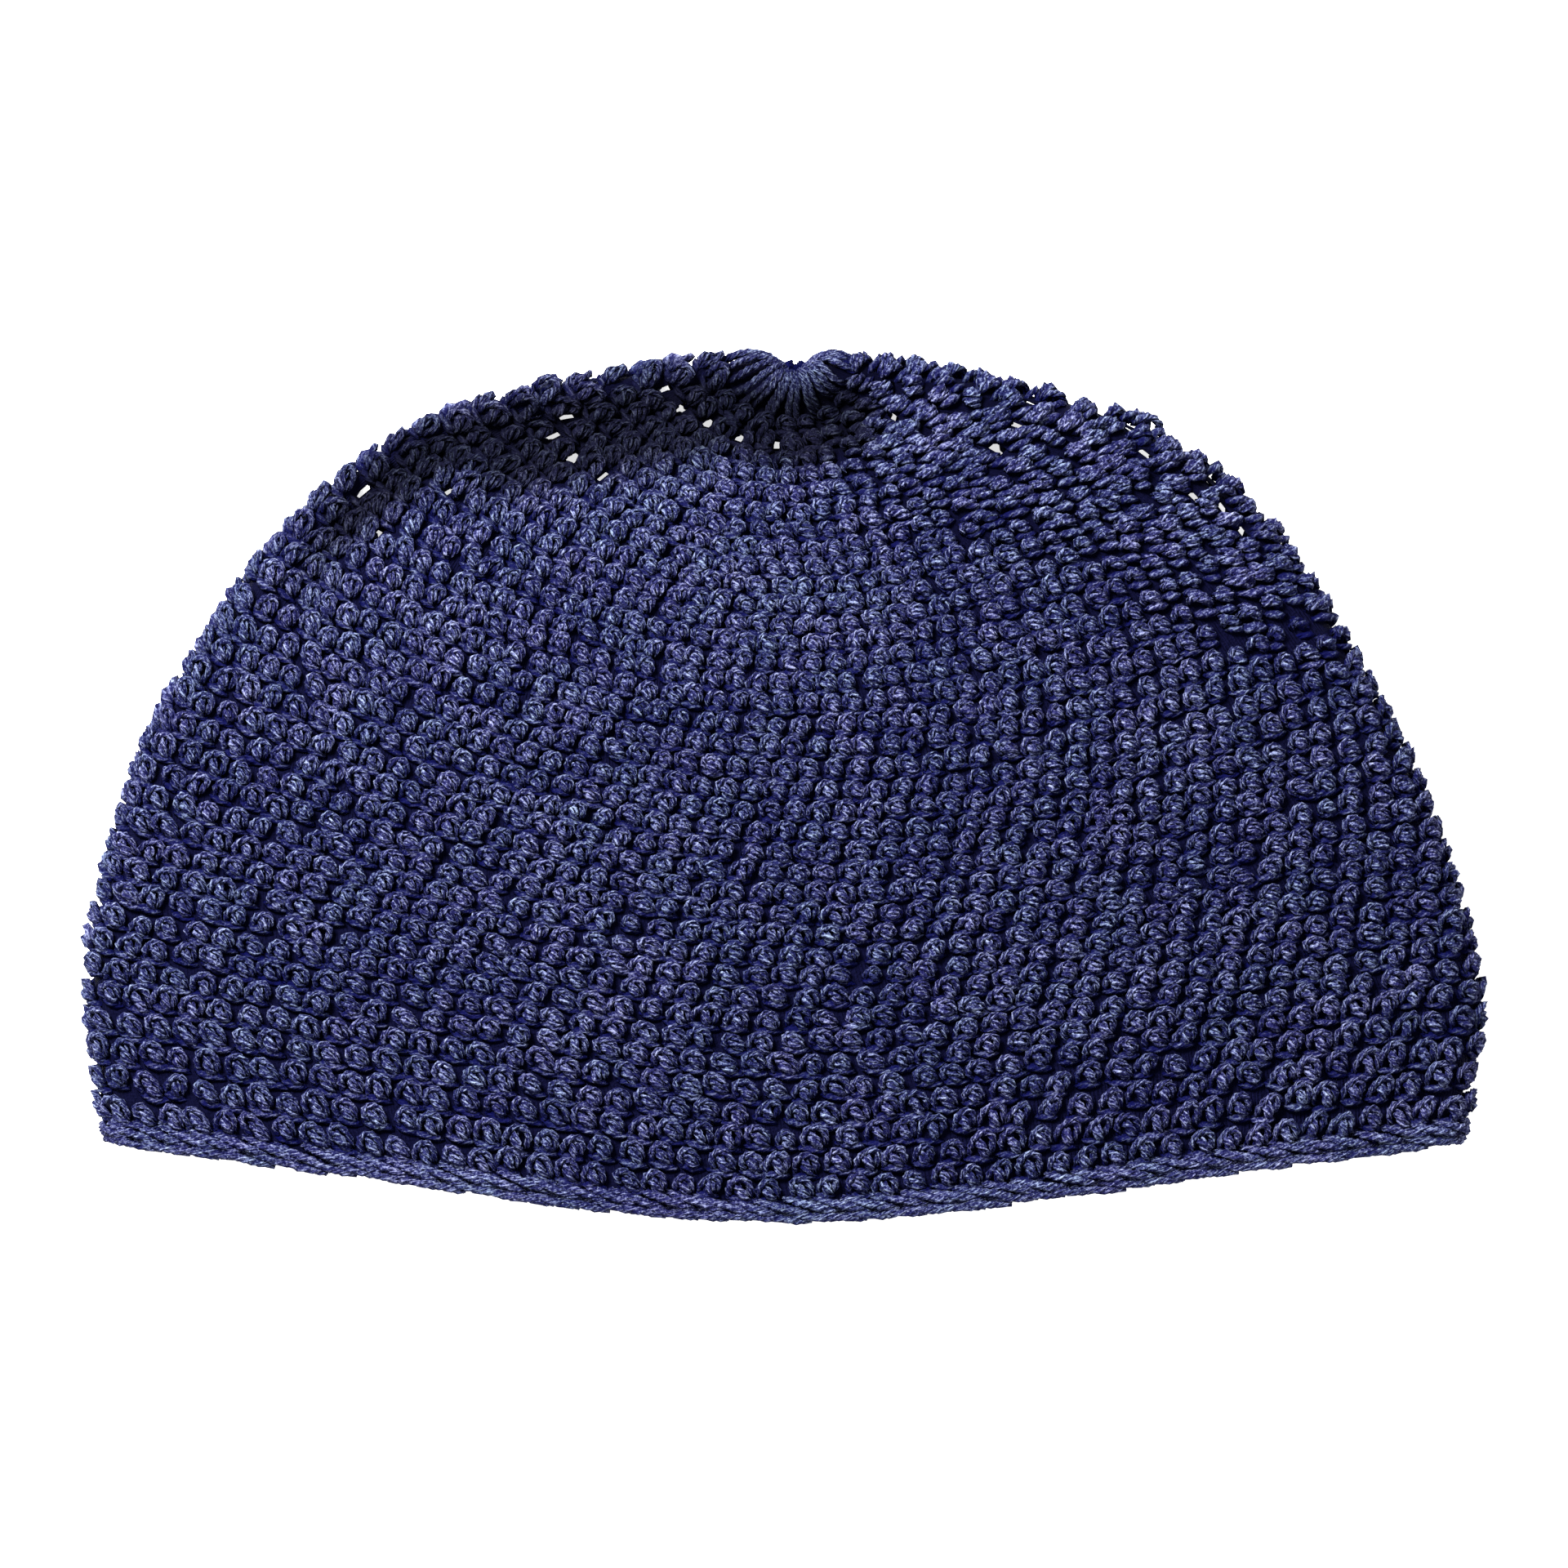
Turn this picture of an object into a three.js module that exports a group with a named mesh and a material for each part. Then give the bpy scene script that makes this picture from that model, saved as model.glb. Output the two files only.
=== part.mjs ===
// A crocheted kufi skullcap, lying folded flat on its side as it is laid down or stored.
// Millimetres, +Z up. The lower layer rests on z = 0, the crown's fold is towards +Y, the mouth opens towards -Y
// and the two side folds are at -X and +X. The origin is under the middle of the cap.
//
// The cap is worked in rounds from the crown's centre down to the rim. A point of its wall is found from two numbers:
// its share of the way from crown (0) to rim (1), and its turn round the cap. Every piece is built on that one surface.
import * as THREE from "three";

// Sizes seen from above
const FLAT_WIDTH = 270; // across the two side folds, at the widest round
const FLAT_DEPTH = 168; // from the crown's fold to the lowest point of the rim

// The wall and how it lies
const WALL = 4.2; // from the crest of a round of stitches to the inner face
const FOLD_GAP = 7.5; // between the two layers just inside a fold
const MOUTH_RISE = 12.5; // how far the upper layer stands up beyond that gap, in the middle of the mouth
const RISE_REACH = 118; // from a fold to where the upper layer has risen fully
const RIB_DEPTH = 0.9; // from the crest of a round down to the groove beside it

// Rounds of stitches
const BUTTON_ROUNDS = 2; // that the gathered centre takes up
const WALL_ROUNDS = 38;
const EDGING_ROUNDS = 1;

// The gathered centre and the edging
const BUTTON_PUFF = 1.2; // how far the gathered centre stands out of the wall
const BUTTON_DIMPLE = 1.5; // how far its middle is drawn in
const PLEAT_DEPTH = 0.5; // between the gathers that run out from its middle
const PIECE_GAP = 0.3; // between two pieces that meet

// How finely the shapes are cut
const TURN_STEPS = 50; // round the whole cap
const PLEAT_TURN_STEPS = 32; // round the gathered centre, two for each gather
const EDGING_SIDES = 8;
const FOLD_LINE_STEPS = 80; // of the line of a side fold, from crown to rim
const INNER_RING_ROUNDS = 2; // rounds between two rings of the smooth inner face

// Where each station from crown to rim lies, seen from above. `share` is the share of the way from crown to rim.
// leftX and rightX are shares of FLAT_WIDTH from the middle, and leftY, rightY and middleY are shares of FLAT_DEPTH
// down from the crown's fold: of the left fold, the right fold and the round's lowest point between them.
// `lean` is the angle in degrees at which a round leaves the folds and dips towards the middle.
const STATIONS = [
  { share: 0.0, leftX: 0.009, leftY: 0.014, rightX: 0.009, rightY: 0.014, middleY: 0.014, lean: 90 },
  { share: 0.049, leftX: -0.04, leftY: 0.003, rightX: 0.047, rightY: 0.002, middleY: 0.079, lean: 85 },
  { share: 0.168, leftX: -0.156, leftY: 0.033, rightX: 0.156, rightY: 0.032, middleY: 0.18, lean: 60 },
  { share: 0.287, leftX: -0.265, leftY: 0.084, rightX: 0.268, rightY: 0.092, middleY: 0.282, lean: 45 },
  { share: 0.406, leftX: -0.355, leftY: 0.196, rightX: 0.355, rightY: 0.21, middleY: 0.388, lean: 32 },
  { share: 0.524, leftX: -0.416, leftY: 0.33, rightX: 0.412, rightY: 0.354, middleY: 0.506, lean: 24 },
  { share: 0.643, leftX: -0.463, leftY: 0.471, rightX: 0.455, rightY: 0.488, middleY: 0.619, lean: 17 },
  { share: 0.762, leftX: -0.49, leftY: 0.609, rightX: 0.483, rightY: 0.618, middleY: 0.734, lean: 11 },
  { share: 0.881, leftX: -0.5, leftY: 0.75, rightX: 0.5, rightY: 0.749, middleY: 0.86, lean: 8 },
  { share: 1.0, leftX: -0.486, leftY: 0.914, rightX: 0.487, rightY: 0.913, middleY: 1.0, lean: 7 },
];

// Hollows pressed into the upper layer, which follow the fold. x and halfLength are shares of FLAT_WIDTH, inside (how
// far in from the fold) and halfWidth are shares of FLAT_DEPTH, and depth is a share of FOLD_GAP.
const DENTS = [
  { name: "valley down the left", x: -0.24, halfLength: 0.1, inside: 0.05, halfWidth: 0.038, depth: 0.6 },
  { name: "valley beside the crown's fold", x: -0.11, halfLength: 0.12, inside: 0.074, halfWidth: 0.055, depth: 0.72 },
  { name: "pocket by the gathered centre", x: 0.005, halfLength: 0.065, inside: 0.08, halfWidth: 0.05, depth: 0.78 },
];

const DIP_OF_HANDLES = 0.75; // how far a curve with two equal handles dips between them, as a share of their depth

const ALL_ROUNDS = BUTTON_ROUNDS + WALL_ROUNDS + EDGING_ROUNDS;
const WALL_START = BUTTON_ROUNDS / ALL_ROUNDS; // shares of the way from crown to rim
const WALL_END = (BUTTON_ROUNDS + WALL_ROUNDS) / ALL_ROUNDS;
const FOLD_RADIUS = (WALL + FOLD_GAP) / 2; // of the wall's middle where it turns over

// The value of a column of STATIONS at a share of the way, on a smooth curve through the rows
function stationValue(column, share) {
  const last = STATIONS.length - 1;
  let i = 0;
  while (i < last - 1 && share > STATIONS[i + 1].share) i++;
  const slope = (k) => {
    const before = STATIONS[Math.max(0, k - 1)];
    const after = STATIONS[Math.min(last, k + 1)];
    return (after[column] - before[column]) / (after.share - before.share);
  };
  const low = STATIONS[i];
  const high = STATIONS[i + 1];
  const span = high.share - low.share;
  const t = (share - low.share) / span;
  const [t2, t3] = [t * t, t * t * t];
  return (
    (2 * t3 - 3 * t2 + 1) * low[column] +
    (t3 - 2 * t2 + t) * span * slope(i) +
    (3 * t2 - 2 * t3) * high[column] +
    (t3 - t2) * span * slope(i + 1)
  );
}

// The point of the "left" or "right" fold at a share of the way, seen from above
function foldPoint(side, share) {
  return new THREE.Vector2(
    stationValue(side + "X", share) * FLAT_WIDTH,
    (0.5 - stationValue(side + "Y", share)) * FLAT_DEPTH,
  );
}

// The line of the folds, from the left end of the rim over the crown to the right end of the rim
const FOLD_LINE = [];
for (let i = FOLD_LINE_STEPS; i > 0; i--) FOLD_LINE.push(foldPoint("left", i / FOLD_LINE_STEPS));
for (let i = 0; i <= FOLD_LINE_STEPS; i++) FOLD_LINE.push(foldPoint("right", i / FOLD_LINE_STEPS));

// How far a point, seen from above, is from that line
function distanceToFold(point) {
  let nearest = Infinity;
  for (let i = 0; i + 1 < FOLD_LINE.length; i++) {
    const along = FOLD_LINE[i + 1].clone().sub(FOLD_LINE[i]);
    const from = point.clone().sub(FOLD_LINE[i]);
    const t = THREE.MathUtils.clamp(from.dot(along) / along.lengthSq(), 0, 1);
    nearest = Math.min(nearest, from.distanceTo(along.multiplyScalar(t)));
  }
  return nearest;
}

// One round seen from above: a curve from the left fold, down through its lowest point, to the right fold
function roundPath(share) {
  const [left, right] = [foldPoint("left", share), foldPoint("right", share)];
  const lean = THREE.MathUtils.degToRad(stationValue("lean", share));
  const middleY = (0.5 - stationValue("middleY", share)) * FLAT_DEPTH;
  const depth = ((left.y + right.y) / 2 - middleY) / DIP_OF_HANDLES;
  const reach = depth / Math.tan(lean);
  return new THREE.CubicBezierCurve(
    left,
    new THREE.Vector2(left.x + reach, left.y - depth),
    new THREE.Vector2(right.x - reach, right.y - depth),
    right,
  );
}

// How deep the dents press the upper layer at a place x across and `distance` in from the fold, in millimetres
function dentDepth(x, distance) {
  const depths = DENTS.map((dent) => {
    const length = (x - dent.x * FLAT_WIDTH) / (dent.halfLength * FLAT_WIDTH);
    const width = (distance - dent.inside * FLAT_DEPTH) / (dent.halfWidth * FLAT_DEPTH);
    return dent.depth * FOLD_GAP * Math.exp(-(length ** 4) - width ** 2);
  });
  return Math.max(...depths);
}

// Height of the middle of the wall over the floor. layer is 1 for the upper layer and -1 for the lower one.
function wallHeight(point, layer, atFold) {
  const distance = distanceToFold(point);
  const inside = atFold ? 0 : Math.max(0, distance - WALL / 2);
  const turned = inside < FOLD_RADIUS ? Math.sqrt(FOLD_RADIUS ** 2 - (FOLD_RADIUS - inside) ** 2) : FOLD_RADIUS;
  const height = WALL / 2 + FOLD_RADIUS + layer * turned;
  if (layer < 0) return height;
  const climb = THREE.MathUtils.clamp((inside - FOLD_RADIUS) / RISE_REACH, 0, 1);
  const risen = 1 - (1 - climb) ** 2;
  const open = turned / FOLD_RADIUS;
  return height + MOUTH_RISE * risen - open * dentDepth(point.x, distance);
}

// One closed ring of the wall's middle: across the upper layer from left to right, then back under it.
// Its points crowd towards the folds, where the wall turns over.
function wallRing(share, steps) {
  const path = roundPath(share);
  const length = path.getLength();
  const inset = Math.min(WALL / 2, length / 4) / length;
  return Array.from({ length: steps }, (_, i) => {
    const turn = (2 * Math.PI * i) / steps;
    const across = (1 - Math.cos(turn)) / 2;
    const layer = Math.sin(turn) >= 0 ? 1 : -1;
    const atFold = i % (steps / 2) === 0;
    const seen = path.getPointAt(inset + (1 - 2 * inset) * across);
    return new THREE.Vector3(seen.x, seen.y, wallHeight(seen, layer, atFold));
  });
}

// Rings of the wall's middle with, at each point, the outward normal and the direction towards the rim
function wallGrid(shares, steps) {
  const rings = shares.map((share) => wallRing(share, steps));
  return rings.map((ring, k) =>
    ring.map((point, i) => {
      const around = ring[(i + 1) % steps].clone().sub(ring[(i + steps - 1) % steps]);
      const above = rings[Math.max(0, k - 1)][i];
      const below = rings[Math.min(rings.length - 1, k + 1)][i];
      const toRim = below.clone().sub(above).normalize();
      const normal = toRim.clone().cross(around).normalize();
      return { point, normal, toRim };
    }),
  );
}

// A point of the wall moved out along its normal. Nothing goes below the floor.
function offset({ point, normal }, distance) {
  const moved = point.clone().addScaledVector(normal, distance);
  moved.z = Math.max(0, moved.z);
  return moved;
}

// A closed mesh from rings of points that all have the same count, each joined to the next. `centre` may close the
// first and the last ring with a point each; without it the last ring is joined back to the first.
function ringSolid(rings, centre) {
  const steps = rings[0].length;
  const points = rings.flat();
  const faces = [];
  const quad = (a, b, i) => {
    const j = (i + 1) % steps;
    faces.push(a * steps + i, b * steps + i, b * steps + j, a * steps + i, b * steps + j, a * steps + j);
  };
  rings.forEach((_, k) => {
    if (k + 1 === rings.length && centre) return;
    for (let i = 0; i < steps; i++) quad(k, (k + 1) % rings.length, i);
  });
  if (centre) {
    const [first, last] = [points.length, points.length + 1];
    points.push(centre.first, centre.last);
    const lastRing = (rings.length - 1) * steps;
    for (let i = 0; i < steps; i++) {
      const j = (i + 1) % steps;
      faces.push(first, i, j, last, lastRing + j, lastRing + i);
    }
  }
  const geometry = new THREE.BufferGeometry();
  geometry.setAttribute("position", new THREE.Float32BufferAttribute(points.flatMap((p) => [p.x, p.y, p.z]), 3));
  geometry.setIndex(faces);
  geometry.computeVertexNormals();
  return geometry;
}

// The crocheted wall: a rib for each round outside, smooth inside
function wallGeometry() {
  const last = Math.round(2 * WALL_ROUNDS); // a ring on each crest and in each groove
  const shares = Array.from({ length: last + 1 }, (_, i) => THREE.MathUtils.lerp(WALL_START, WALL_END, i / last));
  const grid = wallGrid(shares, TURN_STEPS);
  const outer = grid.map((ring, i) => {
    const groove = i % 2 === 0 ? RIB_DEPTH : 0;
    return ring.map((at, j) => {
      // The lower layer is pressed flat by the floor
      const pressed = j > TURN_STEPS / 2 ? 0 : groove;
      return offset(at, WALL / 2 - pressed);
    });
  });
  const innerStep = 2 * INNER_RING_ROUNDS;
  const inner = grid
    .filter((_, i) => i % innerStep === 0 || i === grid.length - 1)
    .map((ring) => ring.map((at) => offset(at, -WALL / 2)))
    .reverse();
  return ringSolid([...outer, ...inner]);
}

// The gathered centre of the crown: it fills the wall's first ring, folded over with the crown
function buttonGeometry() {
  const crownSpan = foldPoint("right", WALL_START).x - foldPoint("left", WALL_START).x;
  const gapShare = PIECE_GAP / (crownSpan / 2);
  // From the middle out: share of the button's reach, and how far its face stands out of the wall
  const profile = [
    { reach: 0.14, out: -0.7 * BUTTON_DIMPLE },
    { reach: 0.32, out: 0.2 * BUTTON_PUFF },
    { reach: 0.58, out: BUTTON_PUFF },
    { reach: 0.82, out: 0.8 * BUTTON_PUFF },
    { reach: 1 - 2 * gapShare, out: 0 },
  ];
  const grid = wallGrid(profile.map(({ reach }) => reach * WALL_START), PLEAT_TURN_STEPS);
  const outer = grid.map((ring, k) =>
    ring.map((at, i) => {
      const pleat = i % 2 === 0 || k === profile.length - 1 ? 0 : PLEAT_DEPTH;
      return offset(at, WALL / 2 + profile[k].out - pleat);
    }),
  );
  const inner = grid
    .filter((_, k) => k > 1)
    .map((ring) => ring.map((at) => offset(at, -WALL / 2)))
    .reverse();
  const crown = foldPoint("left", 0);
  const foldHeight = WALL / 2 + FOLD_RADIUS;
  return ringSolid([...outer, ...inner], {
    first: new THREE.Vector3(crown.x, crown.y - BUTTON_DIMPLE, foldHeight),
    last: new THREE.Vector3(crown.x, crown.y - WALL, foldHeight),
  });
}

// The edging worked along the rim: a rounded band as thick as the wall
function edgingGeometry() {
  const [top, middle, rim] = wallGrid([WALL_END, (WALL_END + 1) / 2, 1], TURN_STEPS);
  const sides = Array.from({ length: EDGING_SIDES }, (_, k) => (2 * Math.PI * k) / EDGING_SIDES);
  const rings = sides.map((angle) =>
    middle.map((at, i) => {
      const depth = top[i].point.distanceTo(rim[i].point);
      const centre = top[i].point.clone().lerp(rim[i].point, 0.5 + PIECE_GAP / depth / 2);
      const seat = { point: centre, normal: at.normal };
      seat.point.addScaledVector(at.toRim, (-Math.cos(angle) * (depth - PIECE_GAP)) / 2);
      return offset(seat, (Math.sin(angle) * WALL) / 2);
    }),
  );
  return ringSolid(rings);
}

const yarn = (name, colour) => new THREE.MeshStandardMaterial({ name, color: colour, roughness: 0.85, metalness: 0 });

function piece(name, geometry, material) {
  const mesh = new THREE.Mesh(geometry, material);
  mesh.name = name;
  return mesh;
}

const navy = yarn("navy yarn", 0x2b2c5e);
const kufi = new THREE.Group();
kufi.add(piece("crocheted_wall", wallGeometry(), navy));
kufi.add(piece("crown_button", buttonGeometry(), navy));
kufi.add(piece("rim_edging", edgingGeometry(), navy));

export default kufi;
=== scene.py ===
import math

import bpy
import numpy as np
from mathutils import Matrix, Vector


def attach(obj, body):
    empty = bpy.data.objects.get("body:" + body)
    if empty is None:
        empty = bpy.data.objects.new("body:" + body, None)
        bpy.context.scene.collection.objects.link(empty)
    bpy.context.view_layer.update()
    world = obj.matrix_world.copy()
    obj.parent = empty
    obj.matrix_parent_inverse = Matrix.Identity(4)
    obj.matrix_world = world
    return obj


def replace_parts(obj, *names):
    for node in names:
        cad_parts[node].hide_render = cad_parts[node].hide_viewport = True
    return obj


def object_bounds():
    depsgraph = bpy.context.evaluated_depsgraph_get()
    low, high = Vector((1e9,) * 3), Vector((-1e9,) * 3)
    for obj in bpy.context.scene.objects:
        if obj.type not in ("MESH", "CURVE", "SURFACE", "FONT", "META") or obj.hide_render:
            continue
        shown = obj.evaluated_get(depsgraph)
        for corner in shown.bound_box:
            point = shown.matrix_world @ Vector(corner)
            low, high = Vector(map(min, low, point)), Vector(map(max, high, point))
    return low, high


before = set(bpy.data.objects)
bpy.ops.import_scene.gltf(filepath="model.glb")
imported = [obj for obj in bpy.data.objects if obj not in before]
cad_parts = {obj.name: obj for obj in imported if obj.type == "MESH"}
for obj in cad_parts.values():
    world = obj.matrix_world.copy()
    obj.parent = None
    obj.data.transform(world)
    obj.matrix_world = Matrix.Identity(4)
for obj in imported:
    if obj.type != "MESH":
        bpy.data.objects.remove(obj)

MM = 0.001
CAD_BOX = [list(corner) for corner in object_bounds()]
FLAT_WIDTH = (CAD_BOX[1][0] - CAD_BOX[0][0]) / MM  # across the two side folds
FLAT_DEPTH = 168  # from the crown's fold to the lowest point of the rim, seen from above
FLOOR_CLEARANCE = 0.02  # nothing goes lower than this
random = np.random.default_rng(7)

# The wall and how it lies, as in the part's source
WALL = 4.2
FOLD_GAP = 7.5
MOUTH_RISE = 12.5
RISE_REACH = 118  # how far in from the folds the upper layer climbs by MOUTH_RISE
FOLD_RADIUS = (WALL + FOLD_GAP) / 2

# Rounds from the crown's centre to the rim
BUTTON_ROUNDS = 2
WALL_ROUNDS = 38
EDGING_ROUNDS = 1
ALL_ROUNDS = BUTTON_ROUNDS + WALL_ROUNDS + EDGING_ROUNDS

# Stitches
STITCH_WIDTH = 4.3  # while the cap still widens
MOST_STITCHES = 98  # in a round, from where the cap stops widening
ROUND_SHIFT = -0.3  # how far round each round starts from the one before, in stitches
YARN = 1.9  # diameter
PLIES = 3
PLY_DIAMETER = 0.56  # of a ply, as a share of the yarn's
PLY_PITCH = 6.0  # length of yarn in which a ply turns once round it
UPPER_TURNS = 0.53  # of a round, its first half and a little past the fold, where stitches are finely made
GATHERS = 36  # strands of the gathered centre
GATHER_STEPS = 14  # points along each of them
EDGING_STEPS = 9  # points along a loop of the edging

# How stitches differ: shares of a stitch across, of a round down, and millimetres out
SHIFTS = (0.05, 0.06, 0.22)
SIZES = 0.09  # spread of their size, as a share
LEANS = 0.2  # spread of how far they slant, in stitches across for each round down
CALM = 0.6  # share of these differences in the gathered centre and the edging
# How a strand strays from its table's line, in the same measures, at each of its bends
WANDER = (0.025, 0.03, 0.12)
WANDER_BENDS = 4

# Where the cloth is taut: each pair is where it starts to be and where it is most so. The first is in
# millimetres from the fold, the others are shares of FLAT_WIDTH and FLAT_DEPTH from the cap's middle.
TAUT_FROM_FOLD = (38, 16)
TAUT_ACROSS = (0.0, 0.08)
TAUT_UP = (0.1, 0.25)
TAUT_JITTER = 0.6  # how much more stitches differ there
TAUT_THICKNESS = 0.1  # how much thicker their strands are

# Painted shade: how dark yarn is painted where it lies deep in the cloth and where the cap is pressed in. The
# first two are millimetres out from the wall's middle; the pairs are shares of FOLD_GAP by which the cap is
# pressed in, where the painted shade starts and where it is full.
OPEN_OUT = 2.2  # in full light
DEEP_OUT = 0.15  # in full shade
EDGING_OUT = 1.0  # the edging is shaded as if at least this far out
STRANDS_HOLLOW_SHADE = (0.0, 0.5)
BACKS_HOLLOW_SHADE = (0.05, 0.6)

# A tube of yarn
TUBE_SIDES = 4
STITCH_PLY_SIDES = 3  # of a ply's tube in the stitches, which are far more than all the others
RUN_STARTS = 50  # its yarn starts up to this far along, so that no two look alike
TAPER = 0.25  # share of its radius that it loses at its ends
GIRTHS = (0.9, 1.1)  # thinnest and thickest tube, as shares of their diameter
LUMPS = 0.1  # spread of its radius from point to point

# The stitches' backs: an outer face just under the stitches and an inner one, which shows inside the cap.
# Their depths are in millimetres in from the wall's middle.
BACK_COLUMNS = 3  # of faces for each stitch
BACK_ROWS = 2  # of faces for each round
BACK_START = 0.4  # in rounds from the crown's centre
BACK_END = BUTTON_ROUNDS + WALL_ROUNDS + 0.6
BACK_THINNEST = 0.2  # share of their depth left at the crown's centre
BACK_OUTER = 0.6  # depth of the outer face
BACK_INNER = WALL / 2 - 0.9  # depth of the inner face between the bars
BACK_BAR = 0.55  # how far each round's bar stands inward
BACK_BUMP = 0.35  # and each stitch's bump on it
# Painted shade on the backs: the inner face is painted partly shaded, and the outer face is painted fully
# shaded and near black, as shade between the stitches
BACK_INNER_PAINTED_SHADE = 0.3  # how dark the inner face is, where 1 is full shade
BACK_LEAST_HOLLOW_SHADE = 0.75  # and at least how dark the outer one is, as it is seen only between stitches
BACK_YARN = (250, 1.4)  # their yarn's turns once round the cap, and its millimetres from row to row

# How strands and backs make way for a gap
ASIDE_STEP = 0.25  # a strand is moved this far at a time
ASIDE_STEPS = 16  # and at most this often
PASSAGE_MARGIN = 0.6  # added to a gap's width where the backs are opened
PASSAGE_REACH = 5  # the backs are drawn towards a gap this far round it
PASSAGE_SOFTNESS = 3.5  # and from here on much less

# How finely the wall is worked out
FOLD_LINE_STEPS = 80  # along each side of the folds' line
PATH_POINTS = 600  # along a round seen from above
LAYER_POINTS = 300  # of a ring on each layer, before they are spread evenly

# Rounds as they lie, seen from above. share is how far a round is on the way from the crown's centre to the
# rim. left_x and right_x say where it meets the folds, in shares of FLAT_WIDTH from the middle. left_y,
# right_y and middle_y, its lowest point, are shares of FLAT_DEPTH down from the crown's fold. lean is its
# angle at the folds, in degrees.
STATIONS = (
    dict(share=0.0, left_x=0.009, left_y=0.014, right_x=0.009, right_y=0.014, middle_y=0.014, lean=90),
    dict(share=0.049, left_x=-0.04, left_y=0.003, right_x=0.047, right_y=0.002, middle_y=0.079, lean=85),
    dict(share=0.168, left_x=-0.156, left_y=0.033, right_x=0.156, right_y=0.032, middle_y=0.18, lean=60),
    dict(share=0.287, left_x=-0.265, left_y=0.084, right_x=0.268, right_y=0.092, middle_y=0.282, lean=45),
    dict(share=0.406, left_x=-0.355, left_y=0.196, right_x=0.355, right_y=0.21, middle_y=0.388, lean=32),
    dict(share=0.524, left_x=-0.416, left_y=0.33, right_x=0.412, right_y=0.354, middle_y=0.506, lean=24),
    dict(share=0.643, left_x=-0.463, left_y=0.471, right_x=0.455, right_y=0.488, middle_y=0.619, lean=17),
    dict(share=0.762, left_x=-0.49, left_y=0.609, right_x=0.483, right_y=0.618, middle_y=0.734, lean=11),
    dict(share=0.881, left_x=-0.5, left_y=0.75, right_x=0.5, right_y=0.749, middle_y=0.86, lean=8),
    dict(share=1.0, left_x=-0.486, left_y=0.914, right_x=0.487, right_y=0.913, middle_y=1.0, lean=7),
)
# Hollows pressed into the upper layer. x and half_length are shares of FLAT_WIDTH across the cap, inside (how
# far in from the fold) and half_width are shares of FLAT_DEPTH, and depth is a share of FOLD_GAP.
DENTS = (
    # The valley down the left
    dict(x=-0.24, half_length=0.1, inside=0.05, half_width=0.038, depth=0.6),
    # The valley beside the crown's fold
    dict(x=-0.11, half_length=0.12, inside=0.074, half_width=0.055, depth=0.72),
    # The pocket by the gathered centre
    dict(x=0.005, half_length=0.065, inside=0.08, half_width=0.05, depth=0.78),
)
DIP_OF_HANDLES = 0.75  # a round's curve dips by this share of what its two handles do
# Places where one sees between the stitches through both layers. x and y are shares of FLAT_WIDTH and
# FLAT_DEPTH from the cap's middle, and radius is in millimetres.
GAPS = (
    dict(x=-0.0848, y=0.4512, radius=0.37),
    dict(x=-0.0726, y=0.4297, radius=0.46),
    dict(x=-0.0546, y=0.4111, radius=0.40),
    dict(x=-0.0319, y=0.3943, radius=0.40),
    dict(x=-0.0052, y=0.3859, radius=0.31),
    dict(x=-0.1614, y=0.4391, radius=0.34),
    dict(x=-0.1550, y=0.4195, radius=0.34),
    dict(x=-0.1771, y=0.4185, radius=0.28),
    dict(x=-0.1643, y=0.3971, radius=0.34),
    dict(x=-0.1498, y=0.3719, radius=0.50),
    dict(x=-0.1289, y=0.3514, radius=0.31),
    dict(x=-0.2991, y=0.3346, radius=0.31),
    dict(x=-0.2387, y=0.3336, radius=0.31),
    dict(x=-0.2874, y=0.2879, radius=0.34),
    dict(x=0.0778, y=0.4195, radius=0.24),
    dict(x=0.1649, y=0.4101, radius=0.24),
    dict(x=0.1521, y=0.3831, radius=0.46),
    dict(x=0.1754, y=0.4353, radius=0.22),
    dict(x=0.2032, y=0.4335, radius=0.22),
    dict(x=0.2247, y=0.4213, radius=0.22),
    dict(x=0.2445, y=0.4055, radius=0.22),
    dict(x=0.2573, y=0.3765, radius=0.29),
    dict(x=0.3020, y=0.3430, radius=0.29),
    dict(x=0.2909, y=0.3290, radius=0.24),
    dict(x=0.3113, y=0.3159, radius=0.34),
    dict(x=0.3258, y=0.2879, radius=0.29),
)

PHOTO_PIXELS = 1920  # width of the photo
CAP_PIXELS = 1722  # width of the cap in the photo
CAMERA_HEIGHT = 2000.0  # over the floor, so high that the cap is seen almost straight down all over
FOLD_HEIGHT = WALL / 2 + FOLD_RADIUS  # of the side folds' middle, where the cap is widest

# The strands of one stitch. `across` is in stitch widths from its middle, `down` in rounds from the middle of
# its round towards the rim, and `out` in millimetres out from the middle of the wall.
ARCH = (
    dict(across=-0.28, down=0.44, out=-1.0),
    dict(across=-0.38, down=0.26, out=0.3),
    dict(across=-0.4, down=0.03, out=1.0),
    dict(across=-0.29, down=-0.21, out=1.35),
    dict(across=-0.05, down=-0.33, out=1.4),
    dict(across=0.18, down=-0.25, out=1.25),
    dict(across=0.3, down=-0.02, out=1.05),
    dict(across=0.31, down=0.2, out=0.6),
    dict(across=0.24, down=0.4, out=-0.6),
)
CORE = (
    dict(across=-0.16, down=-0.14, out=-0.2),
    dict(across=-0.09, down=-0.02, out=0.8),
    dict(across=-0.01, down=0.1, out=1.3),
    dict(across=0.07, down=0.24, out=1.25),
    dict(across=0.13, down=0.39, out=0.5),
    dict(across=0.17, down=0.52, out=-0.9),
)
FRONT_LOOP = (
    dict(across=-0.5, down=0.4, out=-0.9),
    dict(across=-0.26, down=0.48, out=0.1),
    dict(across=0.0, down=0.54, out=0.35),
    dict(across=0.26, down=0.54, out=0.1),
    dict(across=0.52, down=0.6, out=-0.9),
)
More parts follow.
